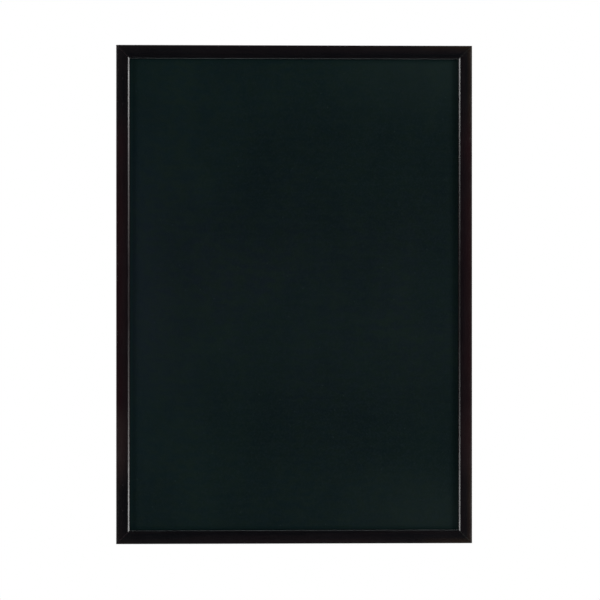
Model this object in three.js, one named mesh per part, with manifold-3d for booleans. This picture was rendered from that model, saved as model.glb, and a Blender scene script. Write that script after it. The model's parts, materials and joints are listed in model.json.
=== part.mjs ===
// Wall chalkboard, 500 x 700 mm: a green-black writing panel in a slim lacquered wooden frame.
//
// Millimetres, +Z up. The writing face looks along -Y and the wall lies in the plane Y = 0,
// against the back faces of four rubber pads. The origin is the middle of the board on the wall.
import * as THREE from 'three';
import { mergeVertices } from 'three/addons/utils/BufferGeometryUtils.js';
import Module from 'manifold-3d';

const wasm = await Module();
wasm.setup();

// Outer size of the frame
const boardWidth = 500;
const boardHeight = 700;

// Moulding section, from its outer edge inwards and from its back face forwards
const railWidth = 19.2;
const railDepth = 18;
const backArris = 0.5;
const edgeSlopeWidth = 3.3;
const edgeSlopeDrop = 1;
const faceCrown = 0.3;
const bevelWidth = 3;
const bevelDrop = 2.2;
const sightEdge = 4.5;
const rebateWidth = 7;

// Boards in the rebate
const panelThickness = 3.2;
const backingThickness = 2.5;
const panelSideGap = 1;

// Clearances between pieces that are fitted together
const mitreGap = 0.1;
const seatGap = 0.1;
const slotGap = 0.15;

// Corner wedges, pressed in across each mitre
const wedgeLeg = 4;
const wedgeSheet = 0.5;
const wedgeHeight = 9;
const wedgeLegAngle = THREE.MathUtils.degToRad(60);
const wedgeSunk = 0.3;
const wedgeApexes = [5.2, 10.4];

// Retaining points, driven into the rebate wall behind the backing board
const pointLength = 14;
const pointWidth = 6;
const pointSheet = 0.4;
const pointBite = 4;
const pointTip = 2;
const pointEndMargin = 70;
const pointsOnStile = 4;
const pointsOnRail = 3;

// Rubber pads on the back
const padRadius = 5;
const padFaceRadius = 4.4;
const padThickness = 4.5;
const padEdgeRound = 0.4;
const padInset = 40;

// Hanger: folded strap, swinging ring and screw
const hangerDrop = 150;
const hangerInset = 6.8;
const strapSheet = 0.8;
const strapWidth = 8;
const strapTail = 5.5;
const ringWire = 1.8;
const ringLoopGap = 0.2;
const ringSideGap = 0.6;
const ringCorner = 1.8;
const ringReach = 10.5;
const ringRestGap = 0.3;
const screwShank = 3;
const screwLength = 12;
const screwTip = 3;
const screwHead = 6.4;
const screwHeadHeight = 1.9;
const screwHeadSide = 0.6;
const screwRingGap = 0.8;
const screwHoleGap = 0.15;
const recessWidth = 1;
const recessSpan = 3.4;
const recessDepth = 1.1;

// Facets of the round shapes, and how far a cutting tool runs past what it cuts
const roundSteps = 8;
const padSides = 32;
const screwSides = 24;
const domeSteps = 4;
const ringSteps = 48;
const ringSides = 10;
const cutOvershoot = 1;

// Values that follow from the driving dimensions
const backLand = railWidth - rebateWidth;
const faceEdgeDepth = railDepth - faceCrown;
const sightTopDepth = faceEdgeDepth - bevelDrop;
const rebateDepth = sightTopDepth - sightEdge;
const panelFaceDepth = rebateDepth - seatGap;
const backingFaceDepth = panelFaceDepth - panelThickness - seatGap;
const backingBackDepth = backingFaceDepth - backingThickness;
const pointFaceDepth = backingBackDepth - seatGap;
const mitreRetreat = mitreGap / Math.SQRT2;
const ringRadius = ringWire / 2;
const loopHoleRadius = ringRadius + ringLoopGap;
const loopRadius = loopHoleRadius + strapSheet;
const ringArch = strapWidth / 2 + ringSideGap + ringRadius;
const ringTilt = Math.asin((2 * strapSheet + ringRestGap + ringRadius - loopRadius) / ringReach);
const screwDrop = ringReach + ringRadius + screwRingGap + screwHead / 2;

const lacqueredWood = new THREE.MeshStandardMaterial({ color: '#1a1315', roughness: 0.35, metalness: 0 });
const chalkLacquer = new THREE.MeshStandardMaterial({ color: '#111b1b', roughness: 0.9, metalness: 0 });
const hardboard = new THREE.MeshStandardMaterial({ color: '#6b4a30', roughness: 0.8, metalness: 0 });
const zincSteel = new THREE.MeshStandardMaterial({ color: '#a9adb0', roughness: 0.35, metalness: 1 });
const brightSteel = new THREE.MeshStandardMaterial({ color: '#c4c6c8', roughness: 0.22, metalness: 1 });
const blackRubber = new THREE.MeshStandardMaterial({ color: '#1b1b1c', roughness: 0.8, metalness: 0 });

// Closed solid for a boolean, from a geometry with its shared corners merged
function solidOf(geometry) {
  const bare = geometry.clone();
  bare.deleteAttribute('normal');
  bare.deleteAttribute('uv');
  const merged = mergeVertices(bare, 1e-4);
  return new wasm.Manifold(new wasm.Mesh({
    numProp: 3,
    vertProperties: Float32Array.from(merged.attributes.position.array),
    triVerts: Uint32Array.from(merged.index.array),
  }));
}

function geometryOf(solid) {
  const mesh = solid.getMesh();
  const geometry = new THREE.BufferGeometry();
  geometry.setAttribute('position', new THREE.BufferAttribute(mesh.vertProperties, 3));
  geometry.setIndex(new THREE.BufferAttribute(mesh.triVerts, 1));
  return geometry;
}

function cutBy(geometry, tools) {
  let solid = solidOf(geometry);
  for (const tool of tools) {
    solid = solid.subtract(solidOf(tool));
  }
  return geometryOf(solid);
}

function namedMesh(name, geometry, material) {
  const mesh = new THREE.Mesh(geometry, material);
  mesh.name = name;
  return mesh;
}

// An outline drawn in the X-Z plane, as (x, z), made solid from y = near to y = far
function raisedOutline(outline, near, far) {
  const geometry = new THREE.ExtrudeGeometry(outline, {
    depth: far - near,
    bevelEnabled: false,
    curveSegments: roundSteps,
  });
  geometry.rotateX(Math.PI / 2);
  geometry.translate(0, far, 0);
  return geometry;
}

// Moulding section as (distance from the outer edge, distance from the back face). From the outer
// edge a slope rises to the crowned face, and a bevel falls from that to the sight edge.
function mouldingSection() {
  const faceEnd = railWidth - bevelWidth;
  const section = new THREE.Shape();
  section.moveTo(backArris, 0);
  section.lineTo(backLand, 0);
  section.lineTo(backLand, rebateDepth);
  section.lineTo(railWidth, rebateDepth);
  section.lineTo(railWidth, sightTopDepth);
  section.lineTo(faceEnd, faceEdgeDepth);
  section.quadraticCurveTo(
    (faceEnd + edgeSlopeWidth) / 2,
    railDepth + faceCrown,
    edgeSlopeWidth,
    faceEdgeDepth,
  );
  section.lineTo(0, faceEdgeDepth - edgeSlopeDrop);
  section.lineTo(0, backArris);
  section.closePath();
  return section;
}

// A length of moulding along X with both ends mitred. Its outer edge lies at z = 0, its body
// below that, and its back face at y = 0.
function mitredMoulding(length) {
  const geometry = new THREE.ExtrudeGeometry(mouldingSection(), {
    depth: 1,
    bevelEnabled: false,
    curveSegments: roundSteps,
  });
  const corner = geometry.attributes.position;
  for (let i = 0; i < corner.count; i += 1) {
    const inwards = corner.getX(i);
    const forwards = corner.getY(i);
    const end = 1 - 2 * corner.getZ(i);
    corner.setXYZ(i, end * (length / 2 - inwards - mitreRetreat), -forwards, -inwards);
  }
  return geometry;
}

// A bent wedge seen from behind, as (x, z): its fold is at the origin and its legs open upwards.
// Margin widens it all round, for the slot that it is pressed into.
function wedgeOutline(margin) {
  const half = wedgeSheet / 2 + margin;
  const reach = wedgeLeg + margin;
  const along = new THREE.Vector2(Math.sin(wedgeLegAngle), Math.cos(wedgeLegAngle));
  const across = new THREE.Vector2(along.y, -along.x);
  const fold = half / Math.sin(wedgeLegAngle);
  const low = along.clone().multiplyScalar(reach).addScaledVector(across, half);
  const high = along.clone().multiplyScalar(reach).addScaledVector(across, -half);
  return new THREE.Shape([
    new THREE.Vector2(0, -fold),
    low,
    high,
    new THREE.Vector2(0, fold),
    new THREE.Vector2(-high.x, high.y),
    new THREE.Vector2(-low.x, low.y),
  ]);
}

function wedgeGeometry() {
  return raisedOutline(wedgeOutline(0), -wedgeSunk - wedgeHeight, -wedgeSunk);
}

function wedgeSlot() {
  return raisedOutline(wedgeOutline(slotGap), -wedgeSunk - wedgeHeight - slotGap, cutOvershoot);
}

// Cutting tools for the wedge slots at both mitred ends of a moulding of this length
function wedgeSlots(length) {
  const slots = [];
  for (const end of [-1, 1]) {
    for (const apex of wedgeApexes) {
      const slot = wedgeSlot();
      slot.rotateY(end * Math.PI / 4);
      slot.translate(end * (length / 2 - apex), 0, -apex);
      slots.push(slot);
    }
  }
  return slots;
}

// Places of the retaining points along a moulding, measured from its middle
function pointPlaces(length, count) {
  const span = length - 2 * (backLand + pointEndMargin);
  return Array.from({ length: count }, (_, i) => span * (i / (count - 1) - 0.5));
}

// A retaining point seen from behind, as (x, z), its driven end upwards at z = pointBite
function pointOutline(margin) {
  const half = pointWidth / 2 + margin;
  const driven = pointBite + margin;
  const free = pointBite - pointLength;
  return new THREE.Shape([
    new THREE.Vector2(-half, driven - pointTip),
    new THREE.Vector2(-half, free),
    new THREE.Vector2(half, free),
    new THREE.Vector2(half, driven - pointTip),
    new THREE.Vector2(half - pointTip, driven),
    new THREE.Vector2(-half + pointTip, driven),
  ]);
}

// Margin widens it all round, for the slot that it is driven into
function pointGeometry(margin) {
  const front = -pointFaceDepth - margin;
  const back = -pointFaceDepth + pointSheet + margin;
  return raisedOutline(pointOutline(margin), front, back);
}

function pointSlots(length, count) {
  return pointPlaces(length, count).map((place) => {
    const slot = pointGeometry(slotGap);
    slot.translate(place, 0, -backLand);
    return slot;
  });
}

// One side of the frame with its retaining points, built as the top side and turned into place
function frameSide(name, length, halfSpan, turn, pointCount, extraCuts) {
  const side = new THREE.Group();
  const cuts = [...wedgeSlots(length), ...pointSlots(length, pointCount), ...extraCuts];
  side.add(namedMesh(name, cutBy(mitredMoulding(length), cuts), lacqueredWood));
  pointPlaces(length, pointCount).forEach((place, i) => {
    const point = namedMesh(`${name}_point_${i + 1}`, pointGeometry(0), zincSteel);
    point.position.set(place, 0, -backLand);
    side.add(point);
  });
  side.rotation.y = turn;
  side.position.set(halfSpan * Math.sin(turn), -padThickness, halfSpan * Math.cos(turn));
  return side;
}

// The two wedges of one corner; right and up are 1 or -1
function cornerWedges(name, right, up) {
  const corner = new THREE.Group();
  wedgeApexes.forEach((apex, i) => {
    const wedge = namedMesh(`${name}_wedge_${i + 1}`, wedgeGeometry(), zincSteel);
    wedge.position.set(right * (boardWidth / 2 - apex), 0, up * (boardHeight / 2 - apex));
    wedge.rotation.y = Math.atan2(right, up);
    corner.add(wedge);
  });
  corner.position.y = -padThickness;
  return corner;
}

function boardInRebate(name, thickness, faceDepth, material) {
  const edge = 2 * (backLand + panelSideGap);
  const board = namedMesh(
    name,
    new THREE.BoxGeometry(boardWidth - edge, thickness, boardHeight - edge),
    material,
  );
  board.position.y = -padThickness - faceDepth + thickness / 2;
  return board;
}

// A pad with its glued face at y = 0 and its free face at y = padThickness
function rubberPad(name) {
  const profile = [
    new THREE.Vector2(0, 0),
    new THREE.Vector2(padRadius, 0),
    new THREE.Vector2(padFaceRadius + padEdgeRound, padThickness - padEdgeRound),
    new THREE.Vector2(padFaceRadius, padThickness),
    new THREE.Vector2(0, padThickness),
  ];
  return namedMesh(name, new THREE.LatheGeometry(profile, padSides), blackRubber);
}

// The folded strap lies on the wood at y = 0 with the middle of its loop above the origin
function strapGeometry() {
  const side = new THREE.Shape();
  const shoulder = Math.acos((2 * strapSheet - loopRadius) / loopRadius);
  const end = screwDrop + strapTail;
  side.moveTo(-end, 0);
  side.lineTo(0, 0);
  side.absarc(0, loopRadius, loopRadius, -Math.PI / 2, Math.PI / 2 + shoulder, false);
  side.lineTo(-end, 2 * strapSheet);
  side.closePath();
  const loop = new THREE.Path();
  loop.absarc(0, loopRadius, loopHoleRadius, 0, 2 * Math.PI, true);
  side.holes.push(loop);
  const folded = new THREE.ExtrudeGeometry(side, {
    depth: strapWidth,
    bevelEnabled: false,
    curveSegments: 2 * roundSteps,
  });
  const turned = new THREE.Matrix4().makeBasis(
    new THREE.Vector3(0, 0, 1),
    new THREE.Vector3(0, 1, 0),
    new THREE.Vector3(-1, 0, 0),
  );
  folded.applyMatrix4(turned);
  folded.translate(strapWidth / 2, 0, 0);

  const half = strapWidth / 2;
  const plan = new THREE.Shape();
  plan.moveTo(half, loopRadius + cutOvershoot);
  plan.lineTo(-half, loopRadius + cutOvershoot);
  plan.absarc(0, half - end, half, Math.PI, 2 * Math.PI, false);
  plan.closePath();
  const rounded = raisedOutline(plan, -cutOvershoot, 2 * loopRadius + cutOvershoot);

  const holeRadius = screwShank / 2 + screwHoleGap;
  const drilled = 2 * (strapSheet + cutOvershoot);
  const hole = new THREE.CylinderGeometry(holeRadius, holeRadius, drilled, screwSides);
  hole.translate(0, strapSheet, -screwDrop);
  return geometryOf(solidOf(folded).intersect(solidOf(rounded)).subtract(solidOf(hole)));
}

// Centre line of the ring in the X-Z plane: its straight bar runs through the origin along X
class RingLine extends THREE.Curve {
  constructor() {
    super();
    const corner = ringArch - ringCorner;
    const arch = ringArch - ringReach;
    this.outline = new THREE.Path();
    this.outline.moveTo(-corner, 0);
    this.outline.lineTo(corner, 0);
    this.outline.absarc(corner, -ringCorner, ringCorner, Math.PI / 2, 0, true);
    this.outline.lineTo(ringArch, arch);
    this.outline.absarc(0, arch, ringArch, 0, -Math.PI, true);
    this.outline.lineTo(-ringArch, -ringCorner);
    this.outline.absarc(-corner, -ringCorner, ringCorner, Math.PI, Math.PI / 2, true);
  }

  getPoint(t, target = new THREE.Vector3()) {
    const place = this.outline.getPoint(t % 1);
    return target.set(place.x, 0, place.y);
  }
}

// Pan-head screw along -Y, the underside of its head at y = 0, with a crossed recess
function screwGeometry() {
  const shank = screwShank / 2;
  const head = screwHead / 2;
  const profile = [
    new THREE.Vector2(0, -screwLength),
    new THREE.Vector2(shank, -screwLength + screwTip),
    new THREE.Vector2(shank, 0),
    new THREE.Vector2(head, 0),
  ];
  for (let i = 0; i <= domeSteps; i += 1) {
    const turn = (Math.PI / 2) * (i / domeSteps);
    const rise = (screwHeadHeight - screwHeadSide) * Math.sin(turn);
    profile.push(new THREE.Vector2(head * Math.cos(turn), screwHeadSide + rise));
  }
  const blades = [[recessSpan, recessWidth], [recessWidth, recessSpan]].map(([wide, tall]) => {
    const blade = new THREE.BoxGeometry(wide, 2 * recessDepth, tall);
    blade.translate(0, screwHeadHeight, 0);
    return blade;
  });
  return cutBy(new THREE.LatheGeometry(profile, screwSides), blades);
}

// The hole that a hanger's screw is driven into, in a stile's own frame
function screwHole(place) {
  const radius = screwShank / 2 + screwHoleGap;
  const depth = screwLength - 2 * strapSheet + screwHoleGap;
  const hole = new THREE.CylinderGeometry(radius, radius, 2 * depth, screwSides);
  hole.translate(place, 0, -hangerInset);
  return hole;
}

function hanger(name, x) {
  const group = new THREE.Group();
  group.add(namedMesh(`${name}_strap`, strapGeometry(), zincSteel));

  const ringShape = new THREE.TubeGeometry(new RingLine(), ringSteps, ringRadius, ringSides, true);
  const ring = namedMesh(`${name}_ring`, ringShape, brightSteel);
  ring.position.y = loopRadius;
  ring.rotation.x = ringTilt;
  group.add(ring);

  const screw = namedMesh(`${name}_screw`, screwGeometry(), zincSteel);
  screw.position.set(0, 2 * strapSheet, -screwDrop);
  group.add(screw);

  group.position.set(x, -padThickness, boardHeight / 2 - hangerDrop);
  return group;
}

const chalkboard = new THREE.Group();

const screwHeight = boardHeight / 2 - hangerDrop - screwDrop;
const rightHole = screwHole(-screwHeight);
const leftHole = screwHole(screwHeight);
const quarter = Math.PI / 2;
chalkboard.add(
  frameSide('top_rail', boardWidth, boardHeight / 2, 0, pointsOnRail, []),
  frameSide('right_stile', boardHeight, boardWidth / 2, quarter, pointsOnStile, [rightHole]),
  frameSide('bottom_rail', boardWidth, boardHeight / 2, 2 * quarter, pointsOnRail, []),
  frameSide('left_stile', boardHeight, boardWidth / 2, -quarter, pointsOnStile, [leftHole]),
);

chalkboard.add(
  boardInRebate('writing_panel', panelThickness, panelFaceDepth, chalkLacquer),
  boardInRebate('backing_board', backingThickness, backingFaceDepth, hardboard),
);

for (const [side, right] of [['left', -1], ['right', 1]]) {
  for (const [level, up] of [['top', 1], ['bottom', -1]]) {
    chalkboard.add(cornerWedges(`${level}_${side}`, right, up));
    const pad = rubberPad(`${level}_${side}_pad`);
    const padX = right * (boardWidth - backLand) / 2;
    pad.position.set(padX, -padThickness, up * (boardHeight / 2 - padInset));
    chalkboard.add(pad);
  }
  chalkboard.add(hanger(side, right * (boardWidth / 2 - hangerInset)));
}

export default chalkboard;
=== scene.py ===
import json
import math

import bmesh
import bpy
from mathutils import Matrix, Vector


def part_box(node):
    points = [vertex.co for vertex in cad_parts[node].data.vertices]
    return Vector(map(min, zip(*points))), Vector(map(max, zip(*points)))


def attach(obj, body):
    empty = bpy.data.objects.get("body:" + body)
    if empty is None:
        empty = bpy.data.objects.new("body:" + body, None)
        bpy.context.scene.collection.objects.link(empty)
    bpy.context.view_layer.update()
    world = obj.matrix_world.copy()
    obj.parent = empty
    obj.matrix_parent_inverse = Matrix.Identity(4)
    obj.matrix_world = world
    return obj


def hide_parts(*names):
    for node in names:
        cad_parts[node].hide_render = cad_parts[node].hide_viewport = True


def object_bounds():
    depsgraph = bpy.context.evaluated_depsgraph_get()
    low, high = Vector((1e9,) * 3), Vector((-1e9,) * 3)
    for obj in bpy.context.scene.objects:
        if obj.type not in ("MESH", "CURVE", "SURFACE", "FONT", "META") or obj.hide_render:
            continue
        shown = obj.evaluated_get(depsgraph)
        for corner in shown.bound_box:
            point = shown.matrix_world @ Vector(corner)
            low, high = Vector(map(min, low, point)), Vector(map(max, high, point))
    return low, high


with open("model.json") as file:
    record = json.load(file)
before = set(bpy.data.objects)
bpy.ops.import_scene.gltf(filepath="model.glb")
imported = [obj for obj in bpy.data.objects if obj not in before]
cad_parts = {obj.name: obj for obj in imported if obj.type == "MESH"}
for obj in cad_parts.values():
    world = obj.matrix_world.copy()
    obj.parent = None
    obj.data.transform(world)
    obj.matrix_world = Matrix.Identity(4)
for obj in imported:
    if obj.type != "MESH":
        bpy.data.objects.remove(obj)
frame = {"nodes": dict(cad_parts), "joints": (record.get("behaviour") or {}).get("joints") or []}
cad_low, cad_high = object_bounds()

# Every length here is in metres, as the frame is; MM keeps small ones readable.
MM = 0.001

# The board's outline and the moulding's width and depth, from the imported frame
RAIL_LOW, RAIL_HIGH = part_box("top_rail")
HALF_WIDTH = cad_high.x
HALF_HEIGHT = cad_high.z
BACK_Y = RAIL_HIGH.y
RAIL_WIDTH = RAIL_HIGH.z - RAIL_LOW.z
RAIL_DEPTH = RAIL_HIGH.y - RAIL_LOW.y

# Moulding section, as in the frame
BACK_ARRIS = 0.5 * MM
EDGE_SLOPE_WIDTH = 3.3 * MM
EDGE_SLOPE_DROP = 1.0 * MM
FACE_CROWN = 0.3 * MM
BEVEL_WIDTH = 3.0 * MM
BEVEL_DROP = 2.2 * MM
SIGHT_EDGE = 4.5 * MM
REBATE_WIDTH = 7.0 * MM
BACK_LAND = RAIL_WIDTH - REBATE_WIDTH
FACE_EDGE = RAIL_DEPTH - FACE_CROWN
SIGHT_TOP = FACE_EDGE - BEVEL_DROP
REBATE_DEPTH = SIGHT_TOP - SIGHT_EDGE

# Softened arrises of the lacquered moulding, and the fine groove at each mitre
OUTER_ARRIS = 0.35 * MM
SLOPE_ARRIS = 2.5 * MM
BEVEL_ARRIS = 2.7 * MM
SIGHT_ARRIS = 2.4 * MM
LIP_ARRIS = 0.2 * MM
MITRE_GAP = 0.1 * MM
MITRE_SOFT = 0.12 * MM

# How far the lacquer laps round onto the back, and how far past the lip the bare wood reaches
LACQUER_LAP = 0.3 * MM
LIP_LAP = 0.05 * MM

# Softened edges of the two boards
PANEL_EDGE = 0.3 * MM
BACKING_EDGE = 0.25 * MM

# Wedges and retaining points, and the slots that they sit in
SLOT_GAP = 0.08 * MM
WEDGE_SHEET = 0.5 * MM
WEDGE_LEG = 4.0 * MM
WEDGE_LEG_ANGLE = math.radians(60)
WEDGE_HEIGHT = 9.0 * MM
WEDGE_SUNK = 0.3 * MM
WEDGE_APEXES = (5.2 * MM, 10.4 * MM)
POINT_LENGTH = 14.0 * MM
POINT_WIDTH = 6.0 * MM
POINT_SHEET = 0.4 * MM
POINT_BITE = 4.0 * MM
POINT_TIP = 2.0 * MM
POINT_RIB = 0.25 * MM
POINT_RIB_WIDTH = 2.0 * MM
POINT_END = 0.3 * MM
POINT_END_SHARE = 0.92

# Hanger
STRAP_SHEET = 0.8 * MM
STRAP_WIDTH = 8.0 * MM
STRAP_TAIL = 5.5 * MM
RING_WIRE = 1.8 * MM
RING_LOOP_GAP = 0.2 * MM
RING_SIDE_GAP = 0.6 * MM
RING_CORNER = 1.8 * MM
RING_REACH = 10.5 * MM
RING_REST_GAP = 0.3 * MM
SCREW_SHANK = 3.0 * MM
SCREW_LENGTH = 12.0 * MM
SCREW_TIP = 3.0 * MM
SCREW_HEAD = 6.4 * MM
SCREW_HEAD_HEIGHT = 1.9 * MM
SCREW_HEAD_SIDE = 0.6 * MM
SCREW_RING_GAP = 0.8 * MM
SCREW_HOLE_GAP = 0.15 * MM
RECESS_WIDTH = 1.0 * MM
RECESS_SPAN = 3.4 * MM
RECESS_DEPTH = 1.1 * MM
STRAP_PARTING = 0.03 * MM
SCREW_HEAD_EDGE = 0.1 * MM
RING_RADIUS = RING_WIRE / 2
LOOP_HOLE = RING_RADIUS + RING_LOOP_GAP
LOOP_RADIUS = LOOP_HOLE + STRAP_SHEET
RING_ARCH = STRAP_WIDTH / 2 + RING_SIDE_GAP + RING_RADIUS
RING_TILT = math.asin((2 * STRAP_SHEET + RING_REST_GAP + RING_RADIUS - LOOP_RADIUS) / RING_REACH)
SCREW_DROP = RING_REACH + RING_RADIUS + SCREW_RING_GAP + SCREW_HEAD / 2

# Rubber pads: how far the face and the top of the wall stand in from the foot, the slope there in radians,
# and the dish in the face, as (share of the face's radius, depth)
PAD_INSET = 0.6 * MM
PAD_WALL_INSET = 0.45 * MM
PAD_ROUND = 0.45 * MM
PAD_FOOT_EDGE = 0.1 * MM
PAD_DRAFT = 0.1
PAD_DISH = ((0.72, 0.03 * MM), (0.6, 0.12 * MM), (0, 0.16 * MM))

# Broken edges of the steel pieces: a bevel's width, and the turn in degrees from which an edge has one
WEDGE_BREAK = (0.06 * MM, 30)
POINT_BREAK = (0.06 * MM, 40)
STRAP_BREAK = (0.1 * MM, 50)
SCREW_BREAK = (0.05 * MM, 45)

# How far a cutting body reaches past the surface that it cuts, the depths from the wood between which a strap
# is cut to its plan, how near two points count as one, and the radius under which a point is on its axis
CUT_CLEAR = 1.0 * MM
STRAP_CUT_DEPTHS = (-1.0 * MM, 6.0 * MM)
MERGE_DISTANCE = 1e-7
AXIS_RADIUS = 1e-9

# Steps of the round forms
CROWN_STEPS = 12
ARRIS_STEPS = 5
RIB_STEPS = 3
HOLE_STEPS = 32
LOOP_STEPS = 40
LOOP_HOLE_STEPS = 36
STRAP_END_STEPS = 24
RING_BAR_STEPS = 20
RING_CORNER_STEPS = 12
RING_LEG_STEPS = 6
RING_ARCH_STEPS = 48
RING_SIDES = 20
SCREW_SIDES = 40
SCREW_HEAD_STEPS = 9
PAD_SIDES = 48
PAD_WALL_STEPS = 4
PAD_ROUND_STEPS = 6
FLOOR_SIDES = 96
BOARD_EDGE_STEPS = 3
BREAK_STEPS = 2

# Faces that meet at less than these angles, in degrees, are shaded as one, and the weight that large faces
# have in it
MOULDING_SMOOTH = 24
BOARD_SMOOTH = 50
FASTENER_SMOOTH = 40
RING_SMOOTH = 60
LARGE_FACE_WEIGHT = 80

# Wear on the stiles: the rubbed place, and the pin marks measured from each end of the left one
RUBBED_HEIGHT = -212 * MM
RUBBED_LENGTH = 140 * MM
PIN_MARKS = (47 * MM, 83 * MM)
PIN_INSET = 9.2 * MM
PIN_RADIUS = 1.0 * MM

# How far the painted light with the look of wiped chalk reaches in from the frame, and the height where the
# coat is bluest
PAINTED_LIGHT_WIDTH = 5.0 * MM
BLUE_HEIGHT = -20 * MM

# Specks of chalk dust, and the size of the cells that hold at most one of them
SPECK_RADIUS = 1.2 * MM
SPECK_CELL = 14 * MM

# Lamps at the sides: where they stand and aim, their strength at each side, and each kind's name, height,
# target's height, length and power
SIDE_LAMP_OUT = 1.53
SIDE_LAMP_FRONT = -0.75
SIDE_LAMP_AIM = -0.2
SIDE_LAMP_WIDTH = 0.38
SIDE_STRENGTHS = ((-1, 0.75), (1, 1.05))
SIDE_LAMPS = (("side", 0.84, 0.3, 0.76, 11.0), ("side_low", 0.31, 0.15, 0.3, 0.9))

# Lamps below and above, a little to the right and nearly in the board's plane
EDGE_LAMP_RIGHT = 0.1
EDGE_LAMP_FRONT = -0.14
EDGE_LAMP_HEIGHT = 1.35
EDGE_LAMP_AIM = -0.3
EDGE_LAMP_SIZE = (1.0, 0.16)
EDGE_LAMP_TINT = (0.82, 1.0, 1.0)
EDGE_LAMP_POWERS = ((-1, 3.2), (1, 3.1))

# Fills: a broad one in front, and a small one by each right corner
FILL_PLACE = (0, -2.4, 0.25)
FILL_SIDE = 1.8
FILL_POWER = 24.5
CORNER_FILL_PLACE = (0.6, -0.35, 0.6)
CORNER_FILL_AIM = (0.2, 0, 0.3)
CORNER_FILL_SIDE = 0.25
CORNER_FILL_POWER = 0.8

# Floor: its height and radius, and the distances from the board's middle between which it fades
FLOOR_HEIGHT = -0.62
FLOOR_RADIUS = 0.8
FLOOR_FADE = (0.7, 1.0)
FLOOR_GREY = 0.86

# How bright the room in front of the board is, where 1 is white
ROOM_LIGHT = 0.01

# The photograph's framing: the middle of the board in the 600 x 600 picture, and its scale
IMAGE_SIDE = 600
BOARD_MIDDLE_PX = (294.5, 294.5)
BOARD_WIDTH_PX = 356.2
CAMERA_DISTANCE = 2.2
CAMERA_TURN = math.radians(-1.05)
SENSOR_MM = 36.0


# Materials

class Nodes:
    """A short way to write a material's node tree."""

    def __init__(self, tree):
        self.tree = tree

    def add(self, kind, inputs=None, **settings):
        node = self.tree.nodes.new(kind)
        for key, value in settings.items():
            setattr(node, key, value)
        self.feed(node, inputs or {})
        return node

    def feed(self, node, inputs):
        """Gives each input of a node its value, or links it to the socket that it comes from."""
        for key, value in inputs.items():
            if isinstance(value, bpy.types.NodeSocket):
                self.tree.links.new(value, node.inputs[key])
            else:
                node.inputs[key].default_value = value

    def math(self, operation, *values):
        return self.add("ShaderNodeMath", dict(enumerate(values)), operation=operation).outputs[0]

    def product(self, first, *others):
        """The product of any number of values."""
        for other in others:
            first = self.math("MULTIPLY", first, other)
        return first

    def mix(self, factor, first, second):
        """The first colour where the factor is 0, and the second where it is 1."""
        return self.add("ShaderNodeMix", {0: factor, 6: first, 7: second}, data_type="RGBA").outputs[2]

    def split(self, vector):
        """The X, Y and Z of a vector, by name."""
        return self.add("ShaderNodeSeparateXYZ", {"Vector": vector}).outputs

    def noise(self, vector, scale, detail=3.0, roughness=0.55, distortion=0.0):
        return self.add("ShaderNodeTexNoise", {
            "Vector": vector, "Scale": scale, "Detail": detail,
            "Roughness": roughness, "Distortion": distortion,
        }).outputs["Fac"]

    def spread(self, value, low, high, to_low=0.0, to_high=1.0):
        """A value remapped smoothly from low..high to to_low..to_high."""
        return self.add("ShaderNodeMapRange", {
            "Value": value, "From Min": low, "From Max": high, "To Min": to_low, "To Max": to_high,
        }, interpolation_type="SMOOTHSTEP").outputs["Result"]

    def stretched(self, vector, scale):
        return self.add("ShaderNodeMapping", {"Vector": vector, "Scale": scale}).outputs["Vector"]

    def bump(self, height, distance, strength):
        return self.add("ShaderNodeBump", {
            "Height": height, "Distance": distance, "Strength": strength,
        }).outputs["Normal"]


def new_material(name):
    """(material, its nodes, its Principled shader, object coordinates)"""
    material = bpy.data.materials.new(name)
    material.use_nodes = True
    nodes = Nodes(material.node_tree)
    shader = material.node_tree.nodes["Principled BSDF"]
    place = nodes.add("ShaderNodeTexCoord").outputs["Object"]
    return material, nodes, shader, place


def linear(red, green, blue):
    """A colour given as 0-255 sRGB, as the shader's linear RGBA."""
    def one(value):
        value /= 255
        return value / 12.92 if value <= 0.04045 else ((value + 0.055) / 1.055) ** 2.4
    return (one(red), one(green), one(blue), 1.0)


def along_grain(nodes, place, upright, squeeze):
    """Coordinates squeezed along a stile (upright) or a rail, so that noise runs with the wood's grain."""
    return nodes.stretched(place, (1.0, 1.0, squeeze) if upright else (squeeze, 1.0, 1.0))


def distances(nodes, place, upright):
    """Distances from the outer edge of a stile (upright) or a rail, from its nearer end and from a mitre."""
    axes = nodes.split(place)
    across = nodes.math("SUBTRACT", HALF_WIDTH, nodes.math("ABSOLUTE", axes["X"]))
    down = nodes.math("SUBTRACT", HALF_HEIGHT, nodes.math("ABSOLUTE", axes["Z"]))
    inwards, from_end = (across, down) if upright else (down, across)
    mitre = nodes.math("ABSOLUTE", nodes.math("SUBTRACT", inwards, from_end))
    return inwards, from_end, mitre


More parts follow.
